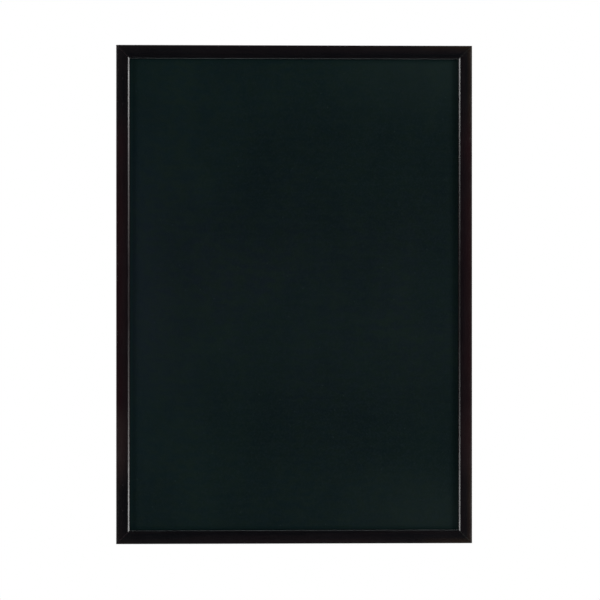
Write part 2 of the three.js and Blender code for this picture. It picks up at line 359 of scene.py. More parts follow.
def lacquer_material(name, upright):
    """Near-black lacquer over red-brown wood, its grain running along the moulding, with painted light
    towards the outer edge and along the mitres.
    """
    material, nodes, shader, place = new_material(name)
    grain_place = along_grain(nodes, place, upright, 0.02)
    grain = nodes.noise(grain_place, 900.0, detail=4.0, roughness=0.6)
    figure = nodes.noise(grain_place, 160.0, detail=2.0, distortion=0.4)
    cloud = nodes.noise(place, 9.0, detail=2.0)
    inwards, from_end, mitre = distances(nodes, place, upright)

    # The stain shows redder along the stiles, away from the corners and most of all at the outer edge.
    outer = nodes.spread(inwards, 0.0, 0.9 * RAIL_WIDTH, 1.0, 0.0)
    red = nodes.product(
        nodes.spread(from_end, 70 * MM, 150 * MM), nodes.spread(cloud, 0.3, 0.65, 0.6, 1.0),
        nodes.math("MULTIPLY_ADD", outer, 0.7, 0.3), 1.0 if upright else 0.15,
    )
    streak = nodes.spread(nodes.product(grain, figure), 0.12, 0.36)
    # The face is paler towards its outer edge: partly its own colour, partly painted light.
    colour = nodes.mix(outer, linear(6, 7, 10), linear(13, 13, 16))
    colour = nodes.mix(red, colour, linear(26, 10, 14))
    colour = nodes.mix(nodes.product(streak, 0.18), colour, linear(34, 24, 24))
    most, reach = (0.42, 160 * MM) if upright else (0.4, 90 * MM)
    colour = worn_edge(nodes, place, colour, inwards, from_end, most, reach)
    if upright:
        colour = rubbed(nodes, place, colour, outer)

    # A paler hairline along each mitre, mauve at the left and grey at the right: partly thinner lacquer,
    # partly a painted glint of the softened mitre edges
    mitre_line_and_glint = nodes.spread(mitre, 0.1 * MM, 0.6 * MM, 0.7, 0.0)
    to_right = nodes.spread(nodes.split(place)["X"], -0.1, 0.1)
    tint = nodes.mix(to_right, linear(58, 46, 50), linear(50, 52, 48))
    nodes.feed(shader, {
        "Base Color": nodes.mix(mitre_line_and_glint, colour, tint),
        "Specular IOR Level": 0.5,
        "Roughness": nodes.spread(nodes.noise(place, 60.0), 0.35, 0.65, 0.2, 0.25),
        "Normal": nodes.bump(nodes.noise(grain_place, 500.0, detail=1.0), 0.02 * MM, 0.25),
    })
    return material


def worn_edge(nodes, place, colour, inwards, from_end, most, reach):
    """The colour with the lacquer thin and brown along the outer edge, most of all at the right corners."""
    worn = nodes.product(
        nodes.spread(inwards, 1.0 * MM, 10.0 * MM, most, 0.0),
        nodes.spread(nodes.split(place)["X"], -0.1, 0.22, 0.25, 1.0),
        nodes.spread(from_end, 0.4 * reach, reach, 1.0, 0.25),
        nodes.spread(nodes.noise(place, 35.0), 0.35, 0.65, 0.6, 1.0),
    )
    return nodes.mix(worn, colour, linear(43, 30, 16))


def rubbed(nodes, place, colour, outer):
    """The colour with the stiles' wear: a rubbed place low down, and small filled pin marks on the left."""
    axes = nodes.split(place)
    on_left = nodes.spread(axes["X"], -0.01, 0.01, 1.0, 0.0)
    height = nodes.math("ABSOLUTE", nodes.math("SUBTRACT", axes["Z"], RUBBED_HEIGHT))
    patch = nodes.product(
        nodes.spread(height, 0.1 * RUBBED_LENGTH, 0.5 * RUBBED_LENGTH, 0.7, 0.0),
        nodes.math("MULTIPLY_ADD", on_left, 0.75, 0.25),
        nodes.math("MULTIPLY_ADD", outer, 0.9, 0.35),
    )
    colour = nodes.mix(patch, colour, linear(36, 27, 27))
    for from_end in PIN_MARKS:
        away = nodes.add("ShaderNodeCombineXYZ", {
            "X": nodes.math("SUBTRACT", axes["X"], PIN_INSET - HALF_WIDTH),
            "Y": nodes.math("SUBTRACT", nodes.math("ABSOLUTE", axes["Z"]), HALF_HEIGHT - from_end),
        }).outputs[0]
        distance = nodes.add("ShaderNodeVectorMath", {0: away}, operation="LENGTH").outputs["Value"]
        mark = nodes.spread(distance, 0.4 * PIN_RADIUS, PIN_RADIUS, 0.35, 0.0)
        colour = nodes.mix(mark, colour, linear(60, 56, 60))
    return colour


def back_wood_material(name, upright):
    """The unlacquered back and rebate: the same wood with a thin dark stain."""
    material, nodes, shader, place = new_material(name)
    grain_place = along_grain(nodes, place, upright, 0.05)
    grain = nodes.noise(grain_place, 700.0, detail=5.0, roughness=0.65)
    figure = nodes.noise(grain_place, 110.0, detail=2.0, distortion=0.8)
    mitre = distances(nodes, place, upright)[2]
    colour = nodes.mix(nodes.spread(figure, 0.3, 0.7), linear(46, 31, 26), linear(70, 47, 37))
    colour = nodes.mix(nodes.spread(grain, 0.45, 0.75, 0.0, 0.6), colour, linear(28, 19, 17))
    colour = nodes.mix(nodes.spread(mitre, 0.1 * MM, 0.5 * MM, 0.6, 0.0), colour, linear(20, 14, 13))
    nodes.feed(shader, {
        "Base Color": colour,
        "Specular IOR Level": 0.35,
        "Roughness": nodes.spread(grain, 0.3, 0.7, 0.62, 0.78),
        "Normal": nodes.bump(grain, 0.08 * MM, 0.6),
    })
    return material


def chalk_material():
    """Matt green-black chalk lacquer: fine rolled texture, faint clouds, level streaks, painted shade and
    light across the board, and painted light along the frame given the look of wiped chalk.
    """
    material, nodes, shader, place = new_material("chalk_lacquer")
    cloud = nodes.noise(place, 4.0, detail=3.0, roughness=0.5)
    blotch = nodes.noise(nodes.stretched(place, (1.0, 1.0, 0.6)), 16.0, detail=5.0, roughness=0.6)
    streak = nodes.noise(nodes.stretched(place, (0.1, 1.0, 1.0)), 150.0, detail=3.0, roughness=0.6)
    stipple = nodes.noise(place, 480.0, detail=3.0, roughness=0.7)
    hue = nodes.noise(nodes.stretched(place, (0.5, 1.0, 1.0)), 120.0, detail=4.0)
    axes = nodes.split(place)
    level = nodes.math("ABSOLUTE", axes["Z"])
    off_middle = nodes.math("ABSOLUTE", nodes.math("SUBTRACT", axes["Z"], BLUE_HEIGHT))

    # Greener towards the top, the bottom and the right, bluer across the middle, a little below its centre
    height = nodes.math("ADD", off_middle, nodes.product(cloud, 0.2))
    colour = nodes.mix(nodes.spread(height, 0.16, 0.34), linear(13, 22, 27), linear(10, 24, 26))
    colour = nodes.mix(nodes.spread(axes["X"], -0.23, 0.23, 0.0, 0.2), colour, linear(15, 26, 20))
    colour = nodes.mix(nodes.spread(hue, 0.35, 0.65, 0.0, 0.65), colour, linear(16, 27.5, 21))
    colour = nodes.mix(nodes.spread(cloud, 0.4, 0.7, 0.0, 0.4), colour, linear(12, 27, 24))
    colour = nodes.mix(nodes.spread(blotch, 0.35, 0.7, 0.0, 0.42), colour, linear(5, 17, 20))
    colour = tone_and_painted_light(nodes, axes, level, off_middle, colour)
    colour = nodes.mix(nodes.spread(streak, 0.4, 0.75, 0.0, 0.2), colour, linear(16, 28, 27))
    colour = nodes.mix(nodes.spread(stipple, 0.42, 0.72, 0.0, 0.36), colour, linear(24, 32.5, 36.5))
    relief = nodes.math("ADD", stipple, nodes.product(streak, 0.4))
    nodes.feed(shader, {
        "Base Color": speckled(nodes, axes, dust_and_painted_light(nodes, axes, level, colour)),
        "Specular IOR Level": 0.05,
        "Roughness": nodes.spread(blotch, 0.3, 0.7, 0.62, 0.72),
        "Normal": nodes.bump(relief, 0.03 * MM, 0.5),
    })
    return material


def tone_and_painted_light(nodes, axes, level, off_middle, colour):
    """The colour with the faint differences of tone from one part of the board to another, with painted shade
    and painted light among them.
    """
    # Painted shade darkens two broad bands, above and below the middle, and painted light makes the right
    # corners palest.
    band = nodes.product(nodes.spread(off_middle, 0.02, 0.15), nodes.spread(level, 0.2, 0.32, 1.0, 0.3),
                         nodes.spread(axes["X"], -0.15, -0.05), 0.4)
    corner = nodes.product(nodes.spread(level, 0.22, 0.32), nodes.spread(axes["X"], 0.0, 0.2), 0.2)
    # Painted shade: darker towards the bottom, most of all left of the middle.
    painted_shade_low = nodes.product(nodes.spread(axes["Z"], -0.24, -0.12, 1.0, 0.0),
                          nodes.spread(axes["X"], -0.05, 0.1, 1.0, 0.4), 0.1)

    # It is greener along the top, bluer along the left edge but for its ends, and paler at the left's middle.
    top = nodes.spread(axes["Z"], 0.22, 0.33, 0.0, 0.05)
    edge = nodes.product(nodes.spread(axes["X"], -0.23, -0.17, 1.0, 0.0),
                         nodes.spread(level, 0.2, 0.3, 1.0, 0.0), 0.09)
    left = nodes.product(nodes.spread(axes["X"], -0.22, -0.12, 1.0, 0.0),
                         nodes.spread(off_middle, 0.04, 0.14, 1.0, 0.0), 0.09)
    dark = linear(3, 12, 14)
    for share, tint in (
        (band, dark), (corner, linear(32, 40, 37)), (painted_shade_low, dark),
        (top, linear(16, 42, 38)), (edge, linear(13, 23, 44)), (left, linear(32, 40, 44)),
    ):
        colour = nodes.mix(share, colour, tint)
    return colour


def dust_and_painted_light(nodes, axes, level, colour):
    """The colour paler along the frame at the left, the top and the bottom: painted light that lifts the
    shade beside the lip, given the look of a little wiped chalk.
    """
    from_left = nodes.math("ADD", axes["X"], HALF_WIDTH - RAIL_WIDTH)
    from_rail = nodes.math("SUBTRACT", HALF_HEIGHT - RAIL_WIDTH, level)
    nearest = nodes.math("MINIMUM", from_left, from_rail)
    return nodes.mix(nodes.spread(nearest, 0.0, PAINTED_LIGHT_WIDTH, 0.5, 0.0), colour, linear(14, 33, 33))


def speckled(nodes, axes, colour):
    """The colour with a few specks of chalk dust: one in some of the cells that cover the board."""
    flat = nodes.add("ShaderNodeCombineXYZ", {"X": axes["X"], "Y": axes["Z"]}).outputs[0]
    cells = nodes.add("ShaderNodeTexVoronoi", {
        "Vector": flat, "Scale": 1 / SPECK_CELL,
    }, voronoi_dimensions="2D").outputs
    radius = SPECK_RADIUS / SPECK_CELL

    # A cell's colour tells its point's place in X and Y, so the chance of a speck comes from Z.
    speck = nodes.product(nodes.spread(cells["Distance"], 0.4 * radius, radius, 1.0, 0.0),
                          nodes.spread(nodes.split(cells["Color"])["Z"], 0.9, 1.0, 0.0, 0.15))
    return nodes.mix(speck, colour, linear(60, 74, 72))


def hardboard_material():
    """Brown fibre board with flecks of bark and pale wood, and the imprint of its pressing screen."""
    material, nodes, shader, place = new_material("hardboard")
    fibre = nodes.noise(place, 420.0, detail=5.0, roughness=0.7)
    cloud = nodes.noise(place, 12.0, detail=3.0)
    weave = nodes.product(*(
        nodes.add("ShaderNodeTexWave", {
            "Vector": place, "Scale": 210.0, "Distortion": 0.6, "Detail": 1.0, "Detail Scale": 2.0,
        }, wave_type="BANDS", bands_direction=axis).outputs["Fac"]
        for axis in ("X", "Z")
    ))
    fleck_place = nodes.stretched(place, (1.0, 1.0, 0.5))
    bark = nodes.noise(fleck_place, 620.0, detail=3.0)
    pale = nodes.noise(fleck_place, 540.0, detail=3.0)
    colour = nodes.mix(nodes.spread(cloud, 0.3, 0.7), linear(108, 75, 49), linear(117, 83, 55))
    colour = nodes.mix(nodes.spread(fibre, 0.35, 0.75, 0.0, 0.55), colour, linear(84, 56, 36))
    colour = nodes.mix(nodes.spread(bark, 0.57, 0.72, 0.0, 0.6), colour, linear(60, 40, 27))
    colour = nodes.mix(nodes.spread(pale, 0.58, 0.74, 0.0, 0.45), colour, linear(146, 110, 77))
    colour = nodes.mix(nodes.product(weave, 0.25), colour, linear(140, 104, 72))
    relief = nodes.math("ADD", nodes.product(weave, 0.7), nodes.product(fibre, 0.5))
    nodes.feed(shader, {
        "Base Color": colour,
        "Specular IOR Level": 0.25,
        "Roughness": 0.82,
        "Normal": nodes.bump(relief, 0.12 * MM, 0.5),
    })
    return material


def steel_material(name, tint, rough_low, rough_high, flake):
    """Plated steel: a faint crystalline mottle in its colour and gloss."""
    material, nodes, shader, place = new_material(name)
    mottle = nodes.noise(place, flake, detail=4.0, roughness=0.7)
    scratch = nodes.noise(nodes.stretched(place, (1.0, 0.25, 0.12)), 2600.0, detail=2.0)
    darker = tuple(0.72 * channel for channel in tint[:3]) + (1.0,)
    nodes.feed(shader, {
        "Base Color": nodes.mix(nodes.spread(mottle, 0.3, 0.7), darker, tint),
        "Metallic": 1.0,
        "Roughness": nodes.spread(mottle, 0.3, 0.7, rough_high, rough_low),
        "Normal": nodes.bump(scratch, 0.01 * MM, 0.35),
    })
    return material


def rubber_material():
    """Black rubber with a fine grain and a little pale dust."""
    material, nodes, shader, place = new_material("pad_rubber")
    grain = nodes.noise(place, 2200.0, detail=3.0)
    dust = nodes.noise(place, 500.0, detail=4.0)
    dusty = nodes.spread(dust, 0.5, 0.8, 0.0, 0.5)
    nodes.feed(shader, {
        "Base Color": nodes.mix(dusty, linear(27, 27, 28), linear(52, 51, 49)),
        "Roughness": nodes.spread(dust, 0.3, 0.7, 0.62, 0.8),
        "Normal": nodes.bump(grain, 0.04 * MM, 0.5),
    })
    return material


# Mesh helpers

def place_object(name, mesh, body, materials, node):
    """Links a finished mesh as a piece that rides on a body and stands for a CAD node."""
    piece = bpy.data.objects.new(name, mesh)
    bpy.context.scene.collection.objects.link(piece)
    for material in materials:
        mesh.materials.append(material)
    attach(piece, body)
    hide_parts(node)
    return piece


def nodes_with(text):
    """The CAD nodes whose names hold this text, in order."""
    return sorted(name for name in frame["nodes"] if text in name)


def smooth_by_angle(mesh, degrees):
    """Smooth faces with sharp edges where two faces meet at more than this angle."""
    work = bmesh.new()
    work.from_mesh(mesh)
    limit = math.radians(degrees)
    for face in work.faces:
        face.smooth = True
    for edge in work.edges:
        edge.smooth = len(edge.link_faces) == 2 and edge.calc_face_angle(math.pi) < limit
    work.to_mesh(mesh)
    work.free()


def weigh_normals(piece):
    """Keeps large flat faces flat beside their softened arrises."""
    modifier = piece.modifiers.new("flat_faces", "WEIGHTED_NORMAL")
    modifier.keep_sharp = True
    modifier.weight = LARGE_FACE_WEIGHT


def new_mesh(name, points, faces):
    """A mesh with its doubled points merged and its faces turned outwards."""
    mesh = bpy.data.meshes.new(name)
    mesh.from_pydata([tuple(point) for point in points], [], faces)
    work = bmesh.new()
    work.from_mesh(mesh)
    bmesh.ops.remove_doubles(work, verts=work.verts, dist=MERGE_DISTANCE)
    bmesh.ops.recalc_face_normals(work, faces=work.faces)
    work.to_mesh(mesh)
    work.free()
    return mesh


def lofted(name, points, count, closed=False):
    """A skin over rings of count points each, its ends capped, or the last ring joined to the first."""
    faces = [] if closed else [list(range(count)), list(range(len(points) - count, len(points)))[::-1]]
    for low in range(0, len(points) if closed else len(points) - count, count):
        high = (low + count) % len(points)
        for i in range(count):
            j = (i + 1) % count
            faces.append([low + i, low + j, high + j, high + i])
    return new_mesh(name, points, faces)


def prism(name, outline, near, far, to_place):
    """An outline of (a, b) points made solid from near to far; to_place maps (a, b, depth) to a point."""
    points = [to_place(a, b, depth) for depth in (near, far) for a, b in outline]
    return lofted(name, points, len(outline))


def seen_from_behind(origin=Vector((0, 0, 0))):
    """Maps (across, up, towards the wall) from an origin to a place."""
    def to_place(a, b, y):
        return Vector((origin.x + a, origin.y + y, origin.z + b))
    return to_place


def combined(mesh, tools, operation):
    """The mesh after a boolean with each tool mesh; tools are used up."""
    base = bpy.data.objects.new("base", mesh)
    bpy.context.scene.collection.objects.link(base)
    helpers = []
    for tool in tools:
        helper = bpy.data.objects.new("tool", tool)
        bpy.context.scene.collection.objects.link(helper)
        modifier = base.modifiers.new("cut", "BOOLEAN")
        modifier.operation = operation
        modifier.solver = "EXACT"
        modifier.object = helper
        helpers.append(helper)
    graph = bpy.context.evaluated_depsgraph_get()
    result = bpy.data.meshes.new_from_object(base.evaluated_get(graph))
    for helper in [base, *helpers]:
        used = helper.data
        bpy.data.objects.remove(helper)
        bpy.data.meshes.remove(used)
    return result


def arc(centre, radius, start, end, steps):
    """Points on an arc, both ends included; angles in radians."""
    turns = [start + (end - start) * i / steps for i in range(steps + 1)]
    return [(centre[0] + radius * math.cos(turn), centre[1] + radius * math.sin(turn)) for turn in turns]


def circle(centre, radius, steps):
    """Points on a full circle, the first not repeated."""
    return arc(centre, radius, 0, 2 * math.pi, steps)[:-1]


def softened(corners):
    """A closed outline whose corners, given as ((a, b), radius), are rounded by that radius."""
    outline = []
    for i, (corner, radius) in enumerate(corners):
        here = Vector(corner)
        if radius == 0:
            outline.append(tuple(here))
            continue
        before = (Vector(corners[i - 1][0]) - here).normalized()
        after = (Vector(corners[(i + 1) % len(corners)][0]) - here).normalized()
        half_angle = before.angle(after) / 2
        reach = radius / math.tan(half_angle)
        centre = here + (before + after).normalized() * (radius / math.sin(half_angle))
        first = here + before * reach - centre
        last = here + after * reach - centre
        turn = math.atan2(first.x * last.y - first.y * last.x, first.dot(last))
        start = math.atan2(first.y, first.x)
        outline += arc(centre, radius, start, start + turn, ARRIS_STEPS)
    return outline


# Moulding

def moulding_section():
    """(distance from the outer edge, distance from the back face) round the section."""
    face_end = RAIL_WIDTH - BEVEL_WIDTH
    corners = [
        ((0.0, 0.0), BACK_ARRIS),
        ((BACK_LAND, 0.0), LIP_ARRIS),
        ((BACK_LAND, REBATE_DEPTH), 0),
        ((RAIL_WIDTH, REBATE_DEPTH), LIP_ARRIS),
        ((RAIL_WIDTH, SIGHT_TOP), SIGHT_ARRIS),
        ((face_end, FACE_EDGE), BEVEL_ARRIS),
    ]
    for i in range(1, CROWN_STEPS):
        share = i / CROWN_STEPS
        inwards = face_end + (EDGE_SLOPE_WIDTH - face_end) * share
        corners.append(((inwards, FACE_EDGE + 4 * FACE_CROWN * share * (1 - share)), 0))
    corners += [
        ((EDGE_SLOPE_WIDTH, FACE_EDGE), SLOPE_ARRIS),
        ((0.0, FACE_EDGE - EDGE_SLOPE_DROP), OUTER_ARRIS),
    ]
    return softened(corners)


def inset(outline, distance):
    """The outline moved in by a small distance, point by point."""
    moved = []
    count = len(outline)
    for i in range(count):
        before = Vector(outline[i - 1])
        here = Vector(outline[i])
        after = Vector(outline[(i + 1) % count])
        across = (after - before).normalized()
        moved.append((here.x - across.y * distance, here.y + across.x * distance))
    return moved


def rail_turn(turn, half_span):
    """Maps a place on the top rail, as (along, inwards, forwards), to the side turned by this angle."""
    def to_place(along, inwards, forwards):
        out = half_span - inwards
        return Vector((
            along * math.cos(turn) + out * math.sin(turn),
            BACK_Y - forwards,
            -along * math.sin(turn) + out * math.cos(turn),
        ))
    return to_place


def mitred_moulding(name, half_length, to_place):
    """A moulding with both ends mitred and the arrises at the mitres softened."""
    section = moulding_section()
    area = sum(
        section[i - 1][0] * section[i][1] - section[i][0] * section[i - 1][1]
        for i in range(len(section))
    )
    shrunk = inset(section, MITRE_SOFT if area > 0 else -MITRE_SOFT)
    retreat = MITRE_GAP / math.sqrt(2)
    stations = [(shrunk, retreat), (section, retreat + MITRE_SOFT)]
    points = [
        to_place(end * (half_length - inwards - back), inwards, forwards)
        for end, ordered in ((-1, stations), (1, stations[::-1]))
        for outline, back in ordered
        for inwards, forwards in outline
    ]
    return lofted(name, points, len(section))


def wedge_outline(margin):
    """A bent wedge seen from behind: its fold at the origin, its legs opening towards +b."""
    half = WEDGE_SHEET / 2 + margin
    reach = WEDGE_LEG + margin
    along = Vector((math.sin(WEDGE_LEG_ANGLE), math.cos(WEDGE_LEG_ANGLE)))
    across = Vector((along.y, -along.x))
    fold = half / math.sin(WEDGE_LEG_ANGLE)
    low = along * reach + across * half
    high = along * reach - across * half
    return [(0, -fold), tuple(low), tuple(high), (0, fold), (-high.x, high.y), (-low.x, low.y)]


def wedge_mesh(name, corner_x, corner_z, apex, margin, depth, top):
    """A wedge, or its slot, in the corner whose signs are corner_x and corner_z."""
    turn = math.atan2(corner_x, corner_z)
    middle_x = corner_x * (HALF_WIDTH - apex)
    middle_z = corner_z * (HALF_HEIGHT - apex)

    def to_place(a, b, y):
        return Vector((
            middle_x + a * math.cos(turn) + b * math.sin(turn),
            BACK_Y + y,
            middle_z - a * math.sin(turn) + b * math.cos(turn),
        ))
    return prism(name, wedge_outline(margin), depth, top, to_place)


def wedge_slots():
    """The slots of all eight wedges, for every side to be cut with."""
    return [
        wedge_mesh("slot", x, z, apex, SLOT_GAP, -WEDGE_SUNK - WEDGE_HEIGHT - SLOT_GAP, CUT_CLEAR)
        for x in (-1, 1) for z in (-1, 1) for apex in WEDGE_APEXES
    ]


def node_slot(node, margin):
    """A box round a CAD node, wider by a margin, to cut the slot that it sits in."""
    low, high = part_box(node)
    corners = [(low.x - margin, low.z - margin), (high.x + margin, low.z - margin),
               (high.x + margin, high.z + margin), (low.x - margin, high.z + margin)]
    return prism("slot", corners, low.y - margin, high.y + margin, seen_from_behind())


def screw_slot(side):
    """The hole in a stile for a hanger's screw."""
    low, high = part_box(f"{side}_screw")
    centre = ((low.x + high.x) / 2, (low.z + high.z) / 2)
    hole = circle(centre, SCREW_SHANK / 2 + SCREW_HOLE_GAP, HOLE_STEPS)
    return prism("slot", hole, low.y - SCREW_HOLE_GAP, BACK_Y + CUT_CLEAR, seen_from_behind())


def paint_back(mesh, to_section):
    """Gives the back face and the rebate the second material."""
    for polygon in mesh.polygons:
        inwards, forwards = to_section(polygon.center)
        behind_lip = inwards > BACK_LAND - LACQUER_LAP and forwards < REBATE_DEPTH + LIP_LAP
        on_back = forwards < 0.6 * BACK_ARRIS
        facing_back = polygon.normal.y > 0.5
        inside = inwards > LACQUER_LAP and facing_back and forwards < SIGHT_TOP
        polygon.material_index = 1 if behind_lip or on_back or inside else 0


def make_side(name, quarter_turns):
    """A rail or stile, turned from the top: its moulding, cut for the points, wedges and hanger screw."""
    upright = name.endswith("stile")
    half_length, half_span = (HALF_HEIGHT, HALF_WIDTH) if upright else (HALF_WIDTH, HALF_HEIGHT)
    turn = quarter_turns * math.pi / 2
    slots = wedge_slots() + [node_slot(point, SLOT_GAP) for point in nodes_with(f"{name}_point")]
    if upright:
        slots.append(screw_slot(name.split("_")[0]))
    mesh = mitred_moulding(name, half_length, rail_turn(turn, half_span))
    mesh = combined(mesh, slots, "DIFFERENCE")
    mesh.name = name

    def to_section(place):
        out = place.x * math.sin(turn) + place.z * math.cos(turn)
        return half_span - out, BACK_Y - place.y
    materials = [LACQUER[upright], BACK_WOOD[upright]]
    piece = place_object(f"{name}_moulding", mesh, "frame", materials, name)
    paint_back(mesh, to_section)
    smooth_by_angle(mesh, MOULDING_SMOOTH)
    weigh_normals(piece)


LACQUER = {True: lacquer_material("lacquer_stile", True), False: lacquer_material("lacquer_rail", False)}
BACK_WOOD = {True: back_wood_material("back_stile", True), False: back_wood_material("back_rail", False)}
CHALK = chalk_material()
HARDBOARD = hardboard_material()
ZINC = steel_material("zinc_steel", (0.50, 0.52, 0.54, 1.0), rough_low=0.26, rough_high=0.42, flake=1500.0)
BRIGHT = steel_material("bright_steel", (0.66, 0.66, 0.66, 1.0), rough_low=0.12, rough_high=0.2, flake=900.0)
RUBBER = rubber_material()

for side_name, side_turn in (("top_rail", 0), ("right_stile", 1), ("bottom_rail", 2), ("left_stile", -1)):
    make_side(side_name, side_turn)


# Boards in the rebate

def make_board(name, radius, materials):
    """A flat board with softened edges; its front has the first material and the rest of it the last."""
    low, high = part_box(name)
    work = bmesh.new()
    bmesh.ops.create_cube(work, size=1.0)
    bmesh.ops.scale(work, vec=high - low, verts=work.verts)
    bmesh.ops.translate(work, vec=(low + high) / 2, verts=work.verts)
    bmesh.ops.bevel(work, geom=work.edges[:], offset=radius, segments=BOARD_EDGE_STEPS,
                    profile=0.5, affect="EDGES")
    mesh = bpy.data.meshes.new(name)
    work.to_mesh(mesh)
    work.free()
    piece = place_object(f"{name}_sheet", mesh, "frame", materials, name)
    for polygon in mesh.polygons:
        polygon.material_index = 0 if polygon.normal.y < -0.5 else len(materials) - 1
    smooth_by_angle(mesh, BOARD_SMOOTH)
    weigh_normals(piece)


make_board("writing_panel", PANEL_EDGE, [CHALK, HARDBOARD])
make_board("backing_board", BACKING_EDGE, [HARDBOARD])


# Fasteners and pads

def make_fastener(name, mesh, node, broken_edges):
    """A zinc-plated piece on the frame, its sharp edges broken by a small bevel."""
    piece = place_object(name, mesh, "frame", [ZINC], node)
    work = bmesh.new()
    work.from_mesh(mesh)
    bmesh.ops.dissolve_limit(work, angle_limit=math.radians(1), verts=work.verts, edges=work.edges)
    work.to_mesh(mesh)
    work.free()
    bevel = piece.modifiers.new("broken_edges", "BEVEL")
    bevel.width, degrees = broken_edges
    bevel.segments = BREAK_STEPS
    bevel.limit_method = "ANGLE"
    bevel.angle_limit = math.radians(degrees)
    smooth_by_angle(mesh, FASTENER_SMOOTH)
    weigh_normals(piece)


def make_wedges():
    """Two bent wedges across each mitre, sunk a little into the back."""
    for level, z in (("top", 1), ("bottom", -1)):
        for side, x in (("left", -1), ("right", 1)):
            for i, apex in enumerate(WEDGE_APEXES, 1):
                node = f"{level}_{side}_wedge_{i}"
                mesh = wedge_mesh(node, x, z, apex, 0.0, -WEDGE_SUNK - WEDGE_HEIGHT, -WEDGE_SUNK)
                make_fastener(f"{node}_steel", mesh, node, WEDGE_BREAK)


def point_section():
    """Across a retaining point: a flat tab with a low rib pressed along its middle."""
    half = POINT_WIDTH / 2
    upper = [(-half, 0.0)]
    for i in range(-RIB_STEPS, RIB_STEPS + 1):
        rise = math.sin(math.pi / 2 * (1 - abs(i) / RIB_STEPS))
        upper.append((POINT_RIB_WIDTH / 2 * i / RIB_STEPS, POINT_RIB * rise))
    upper.append((half, 0.0))
    return upper + [(a, b - POINT_SHEET) for a, b in reversed(upper)]


def make_points():
    """The flat tabs that hold the boards in, each with a tapered tip in the wall of the rebate."""
    section = point_section()
    inner_end = POINT_BITE - POINT_LENGTH
    stations = ((POINT_BITE, 1 - 2 * POINT_TIP / POINT_WIDTH), (POINT_BITE - POINT_TIP, 1.0),
                (inner_end + POINT_END, 1.0), (inner_end, POINT_END_SHARE))
    for node in nodes_with("_point_"):
        low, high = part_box(node)
        middle = (low + high) / 2
        upright = node.split("_")[1] == "stile"
        out = 1 if (middle.x if upright else middle.z) > 0 else -1
        wall = (HALF_WIDTH if upright else HALF_HEIGHT) - BACK_LAND
        points = []
        for reach, share in stations:
            along = out * (wall + reach)
            for a, b in section:
                across = a * share
                x, z = (along, middle.z + across) if upright else (middle.x + across, along)
                points.append((x, high.y + b, z))
        mesh = lofted(node, points, len(section))
        make_fastener(f"{node}_tab", mesh, node, POINT_BREAK)


def turned_profile(name, profile, centre, sides):
    """A lathe shape about Y from (radius, y) points that start and end on the axis."""
    points, rings, faces = [], [], []
    for radius, y in profile:
        if radius < AXIS_RADIUS:
            points.append(centre + Vector((0, y, 0)))
            rings.append([len(points) - 1] * sides)
            continue
        ring = []
        for i in range(sides):
            turn = 2 * math.pi * i / sides
            points.append(centre + Vector((radius * math.cos(turn), y, radius * math.sin(turn))))
            ring.append(len(points) - 1)
        rings.append(ring)
    for low, high in zip(rings, rings[1:]):
        for i in range(sides):
            j = (i + 1) % sides
            corners = [low[i], low[j], high[j], high[i]]
            faces.append([c for k, c in enumerate(corners) if c not in corners[:k]])
    return new_mesh(name, points, faces)


def make_pads():
    """Rubber bumpers: a narrow foot edge, a sloped wall, a rounded rim and a slightly dished face."""
    for node in nodes_with("_pad"):
        low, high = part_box(node)
        foot = (high.x - low.x) / 2
        height = high.y - low.y
        face = foot - PAD_INSET
        profile = [(0, 0), (foot - PAD_FOOT_EDGE, 0), (foot, PAD_FOOT_EDGE)]
        for i in range(1, PAD_WALL_STEPS):
            share = i / PAD_WALL_STEPS
            profile.append((foot - PAD_WALL_INSET * share, PAD_FOOT_EDGE + (height - PAD_ROUND) * share))
        rim = (face - PAD_ROUND + PAD_FOOT_EDGE, height - PAD_ROUND)
        profile += arc(rim, PAD_ROUND, PAD_DRAFT, math.pi / 2, PAD_ROUND_STEPS)
        profile += [(share * face, height - depth) for share, depth in PAD_DISH]
        centre = Vector(((low.x + high.x) / 2, low.y, (low.z + high.z) / 2))
        mesh = turned_profile(node, profile, centre, PAD_SIDES)
        piece = place_object(f"{node}_bumper", mesh, "frame", [RUBBER], node)
        smooth_by_angle(mesh, FASTENER_SMOOTH)
        weigh_normals(piece)


# Hangers

def strap_section():
    """The folded sheet seen from its side, as (up, away from the wood), with the ring's bar at up = 0."""
    end = -(SCREW_DROP + STRAP_TAIL)
    quarter = math.pi / 2
    shoulder = math.acos((2 * STRAP_SHEET - LOOP_RADIUS) / LOOP_RADIUS)
    neck = math.acos((STRAP_SHEET + STRAP_PARTING - LOOP_RADIUS) / LOOP_HOLE)
    outline = [(end, 0.0)]
    outline += arc((0.0, LOOP_RADIUS), LOOP_RADIUS, -quarter, quarter + shoulder, LOOP_STEPS)
    outline += [(end, 2 * STRAP_SHEET), (end, STRAP_SHEET + STRAP_PARTING)]
    outline += arc((0.0, LOOP_RADIUS), LOOP_HOLE, quarter + neck, -quarter, LOOP_HOLE_STEPS)
    outline += [(end, STRAP_SHEET - STRAP_PARTING)]
    return outline


def make_strap(side, pivot):
    """A strap folded round the ring's bar, with a rounded tail and the screw's hole."""
    node = f"{side}_strap"
    origin = Vector((pivot.x, BACK_Y, pivot.z))
    half = STRAP_WIDTH / 2
    length = SCREW_DROP + STRAP_TAIL

    def from_side(up, away, x):
        return Vector((origin.x + x, origin.y + away, origin.z + up))
    mesh = prism(node, strap_section(), -half, half, from_side)
    top = LOOP_RADIUS + CUT_CLEAR
    plan = [(half, top), (-half, top)]
    plan += arc((0.0, half - length), half, math.pi, 2 * math.pi, STRAP_END_STEPS)
    hole = circle((0.0, -SCREW_DROP), SCREW_SHANK / 2 + SCREW_HOLE_GAP, HOLE_STEPS)
    for outline, operation in ((plan, "INTERSECT"), (hole, "DIFFERENCE")):
        tool = prism("tool", outline, *STRAP_CUT_DEPTHS, seen_from_behind(origin))
        mesh = combined(mesh, [tool], operation)
    make_fastener(f"{side}_hanger_strap", mesh, node, STRAP_BREAK)


